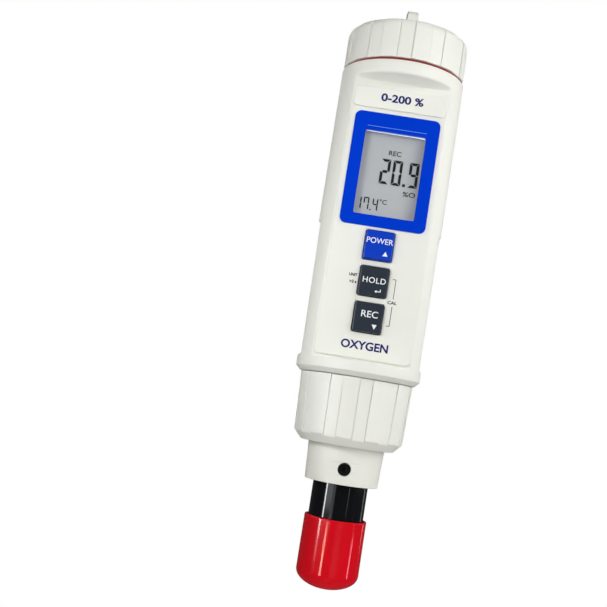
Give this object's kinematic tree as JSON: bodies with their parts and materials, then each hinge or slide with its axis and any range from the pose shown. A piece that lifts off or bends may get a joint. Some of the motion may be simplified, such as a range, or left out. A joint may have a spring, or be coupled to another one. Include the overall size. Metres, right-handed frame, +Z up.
{
  "type": "water quality probe",
  "caption": "Hand-held dissolved-oxygen pen meter: round white housing with a flat face, blue-framed display and keys, screw cap, collar, black probe and red protective cap.",
  "frame": {"origin": "on the pen's axis, in the middle of the hand grip below the display", "axes": "+Z up the axis to the battery cap, -Y out of the display face, +X to the right of someone reading it"},
  "size_m": [0.04, 0.04, 0.1898],
  "materials": {
    "housing_white": "warm white ABS, fine moulded texture, satin",
    "blue_gloss": "glossy blue",
    "window_clear": "clear acrylic window",
    "lcd_grey": "grey reflective liquid-crystal cell, black segments",
    "black_nylon": "black nylon",
    "conductive_rubber": "layered conductive silicone",
    "switch_metal": "tin-plated steel",
    "circuit_board": "green solder mask",
    "steel": "bright steel",
    "chip_epoxy": "moulded epoxy",
    "battery_wrap": "plain printed sleeve on a steel can",
    "red_rubber": "dark red silicone O-ring",
    "grey_cable": "flat grey ribbon",
    "key_blue": "blue moulded key with a pale printed legend",
    "key_slate": "dark slate moulded key with a pale printed legend",
    "cap_white": "warm white ABS, satin",
    "neck_white": "warm white ABS, satin",
    "screw_black": "blackened steel",
    "black_rubber": "black nitrile O-ring",
    "barrel_black": "polished black acetal",
    "white_polymer": "white insulating polymer",
    "zinc": "dull grey metal",
    "gold": "polished gold face",
    "collar_white": "warm white ABS, satin",
    "clear_film": "stretched fluoropolymer film",
    "red_vinyl": "dip-moulded vinyl, soft and glossy"
  },
  "bodies": {
    "housing": {"housing": "housing_white", "name_plate": "housing_white", "front_panel": "housing_white", "display_bezel": "blue_gloss", "display_window": "window_clear", "lcd_glass": "lcd_grey", "display_holder": "black_nylon", "lower_contact_strip": "conductive_rubber", "upper_contact_strip": "conductive_rubber", "power_switch": "switch_metal", "hold_switch": "switch_metal", "record_switch": "switch_metal", "main_board": "circuit_board", "board_screw_left": "steel", "board_screw_right": "steel", "controller_chip": "chip_epoxy", "amplifier_chip": "chip_epoxy", "timing_crystal": "steel", "battery_holder": "black_nylon", "battery_cell_1": "battery_wrap", "battery_cell_2": "battery_wrap", "battery_cell_3": "battery_wrap", "battery_cell_4": "battery_wrap", "battery_terminal_positive": "steel", "battery_terminal_negative": "steel", "battery_bridge_lower": "steel", "contact_spring_front": "steel", "contact_spring_back": "steel", "cap_seal": "red_rubber", "probe_socket": "black_nylon", "ribbon_cable": "grey_cable"},
    "power_key": {"power_key": "key_blue"},
    "hold_key": {"hold_key": "key_slate"},
    "record_key": {"record_key": "key_slate"},
    "contact_plate": {"contact_plate": "black_nylon", "battery_bridge_front": "steel", "battery_bridge_back": "steel"},
    "battery_cap": {"battery_cap": "cap_white", "contact_plate_screw": "steel"},
    "sensor_module": {"sensor_neck": "neck_white", "neck_screw": "screw_black", "neck_seal": "black_rubber", "probe_plug": "black_nylon", "probe_board": "circuit_board", "probe_barrel": "barrel_black", "electrode_stem": "white_polymer", "anode": "zinc", "cathode": "gold", "temperature_sensor": "steel"},
    "probe_collar": {"probe_collar": "collar_white"},
    "membrane_seal": {"membrane_seal": "black_rubber"},
    "membrane_head": {"membrane_head": "barrel_black", "membrane_film": "clear_film"},
    "protective_cap": {"protective_cap": "red_vinyl"}
  },
  "joints": [
    {"name": "power_key_press", "type": "slide", "parent": "housing", "child": "power_key", "axis": [0, 1, 0], "range_m": [0, 0.0006], "stiffness_N_per_m": 1500},
    {"name": "hold_key_press", "type": "slide", "parent": "housing", "child": "hold_key", "axis": [0, 1, 0], "range_m": [0, 0.0006], "stiffness_N_per_m": 1500},
    {"name": "record_key_press", "type": "slide", "parent": "housing", "child": "record_key", "axis": [0, 1, 0], "range_m": [0, 0.0006], "stiffness_N_per_m": 1500},
    {"name": "contact_plate_lift", "type": "slide", "parent": "housing", "child": "contact_plate", "axis": [0, 0, 1], "range_m": [0, 0.009]},
    {"name": "battery_cap_turn", "type": "hinge", "parent": "contact_plate", "child": "battery_cap", "pos_m": [0, 0, 0.0788], "axis": [0, 0, 1], "range_deg": [0, 810]},
    {"name": "sensor_module_draw", "type": "slide", "parent": "housing", "child": "sensor_module", "axis": [0, 0, -1], "range_m": [0, 0.013]},
    {"name": "probe_collar_turn", "type": "hinge", "parent": "sensor_module", "child": "probe_collar", "pos_m": [0, 0, -0.022], "axis": [0, 0, -1], "range_deg": [0, 1170]},
    {"name": "membrane_seal_draw", "type": "slide", "parent": "sensor_module", "child": "membrane_seal", "axis": [0, 0, -1], "range_m": [0, 0.005]},
    {"name": "membrane_head_turn", "type": "hinge", "parent": "membrane_seal", "child": "membrane_head", "pos_m": [0, 0, -0.0783], "axis": [0, 0, -1], "range_deg": [0, 900]},
    {"name": "protective_cap_pull", "type": "slide", "parent": "membrane_seal", "child": "protective_cap", "axis": [0, 0, -1], "range_m": [0, 0.024]}
  ],
  "couplings": [
    {"joint": "contact_plate_lift", "follows": "battery_cap_turn", "m_per_rad": 0.000636},
    {"joint": "sensor_module_draw", "follows": "probe_collar_turn", "m_per_rad": 0.000636},
    {"joint": "membrane_seal_draw", "follows": "membrane_head_turn", "m_per_rad": 0.000318}
  ]
}
